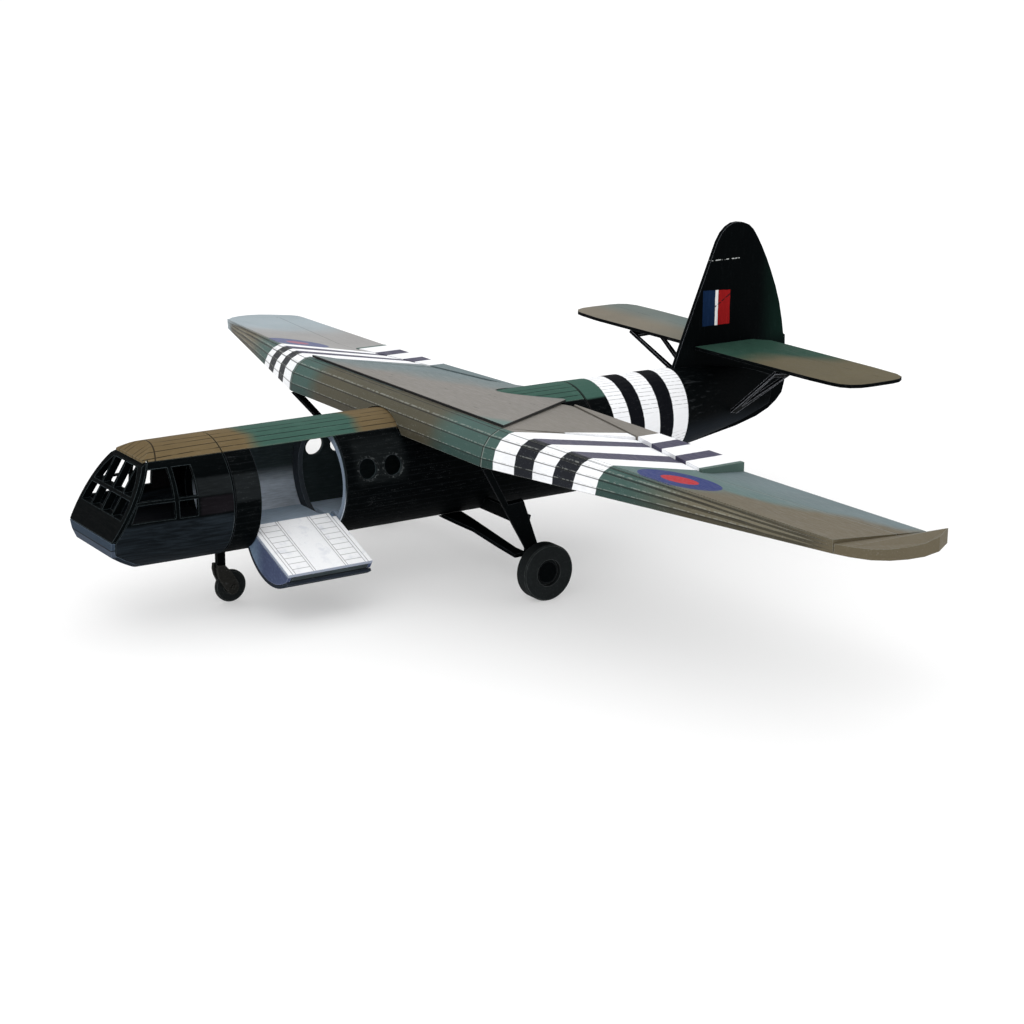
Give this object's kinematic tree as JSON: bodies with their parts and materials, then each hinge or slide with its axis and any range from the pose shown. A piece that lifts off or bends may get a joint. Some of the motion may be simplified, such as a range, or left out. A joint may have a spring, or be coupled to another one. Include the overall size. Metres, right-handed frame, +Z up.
{
  "type": "scale model of a military assault glider",
  "caption": "Laser-cut board and card display model of a high-wing cargo glider with a side door that folds down as a ramp, free-turning wheels and a striped rear hull.",
  "frame": {"origin": "on the ground under the middle of the model's box", "axes": "+Z up, nose towards -Y, port side towards +X"},
  "size_m": [0.479, 0.336, 0.1302],
  "materials": {
    "black_paint": "brushed black paint over laser-cut board and card, satin, faint brush lines",
    "blue_grey_board": "bare dark grey-blue board, cut edges",
    "tan_paint": "tan paint blending to green, matt",
    "green_paint": "dull green camouflage paint, matt",
    "brown_paint": "earth brown and green camouflage paint, matt",
    "white_paint": "white paint with dark bands, fine scored lines"
  },
  "bodies": {
    "airframe": {"cockpit_floor": "blue_grey_board", "door_bulkhead": "blue_grey_board", "door_hinge_lug": "blue_grey_board", "door_hinge_pin": "black_paint", "door_sill": "blue_grey_board", "fin": "black_paint", "gear_front_strut_port": "black_paint", "gear_front_strut_starboard": "black_paint", "gear_leg_port": "black_paint", "gear_leg_starboard": "black_paint", "gear_rear_strut_port": "black_paint", "gear_rear_strut_starboard": "black_paint", "hold_deck_front": "blue_grey_board", "hold_deck_rear": "blue_grey_board", "hull_roof_front": "green_paint", "hull_roof_rear": "green_paint", "hull_shell": "black_paint", "main_axle_port": "black_paint", "main_axle_starboard": "black_paint", "nose_axle": "black_paint", "nose_chin": "blue_grey_board", "nose_fork_port": "black_paint", "nose_fork_starboard": "black_paint", "nose_former": "black_paint", "nose_roof": "tan_paint", "nose_shell": "black_paint", "nose_strut": "black_paint", "nose_window_sheet": "black_paint", "rear_hull": "white_paint", "tail_cone_port": "black_paint", "tail_cone_starboard": "black_paint", "tail_former": "black_paint", "tail_strut_port": "black_paint", "tail_strut_starboard": "black_paint", "tailplane_port": "brown_paint", "tailplane_starboard": "brown_paint", "wing_centre_board": "green_paint", "wing_centre_panel": "green_paint", "wing_flap_port": "brown_paint", "wing_flap_starboard": "brown_paint", "wing_outer_port": "brown_paint", "wing_outer_starboard": "brown_paint", "wing_tip_port": "brown_paint", "wing_tip_starboard": "brown_paint"},
    "door": {"door_board": "white_paint", "door_cap_front": "blue_grey_board", "door_cap_rear": "blue_grey_board", "door_edge_strip": "blue_grey_board", "door_skin": "black_paint"},
    "wheel_port": {"main_wheel_port": "black_paint"},
    "wheel_starboard": {"main_wheel_starboard": "black_paint"},
    "wheel_nose": {"nose_wheel": "black_paint"}
  },
  "joints": [
    {"name": "door_hinge", "type": "hinge", "parent": "airframe", "child": "door", "pos_m": [0.0119, -0.08955, 0.031], "axis": [0, 1, 0], "range_deg": [-110.6, 0]},
    {"name": "wheel_port_spin", "type": "hinge", "parent": "airframe", "child": "wheel_port", "pos_m": [0.0636, -0.0052, 0.0114], "axis": [1, 0, 0], "continuous": true},
    {"name": "wheel_starboard_spin", "type": "hinge", "parent": "airframe", "child": "wheel_starboard", "pos_m": [-0.0636, -0.0052, 0.0114], "axis": [1, 0, 0], "continuous": true},
    {"name": "wheel_nose_spin", "type": "hinge", "parent": "airframe", "child": "wheel_nose", "pos_m": [0, -0.111, 0.0065], "axis": [1, 0, 0], "continuous": true}
  ]
}
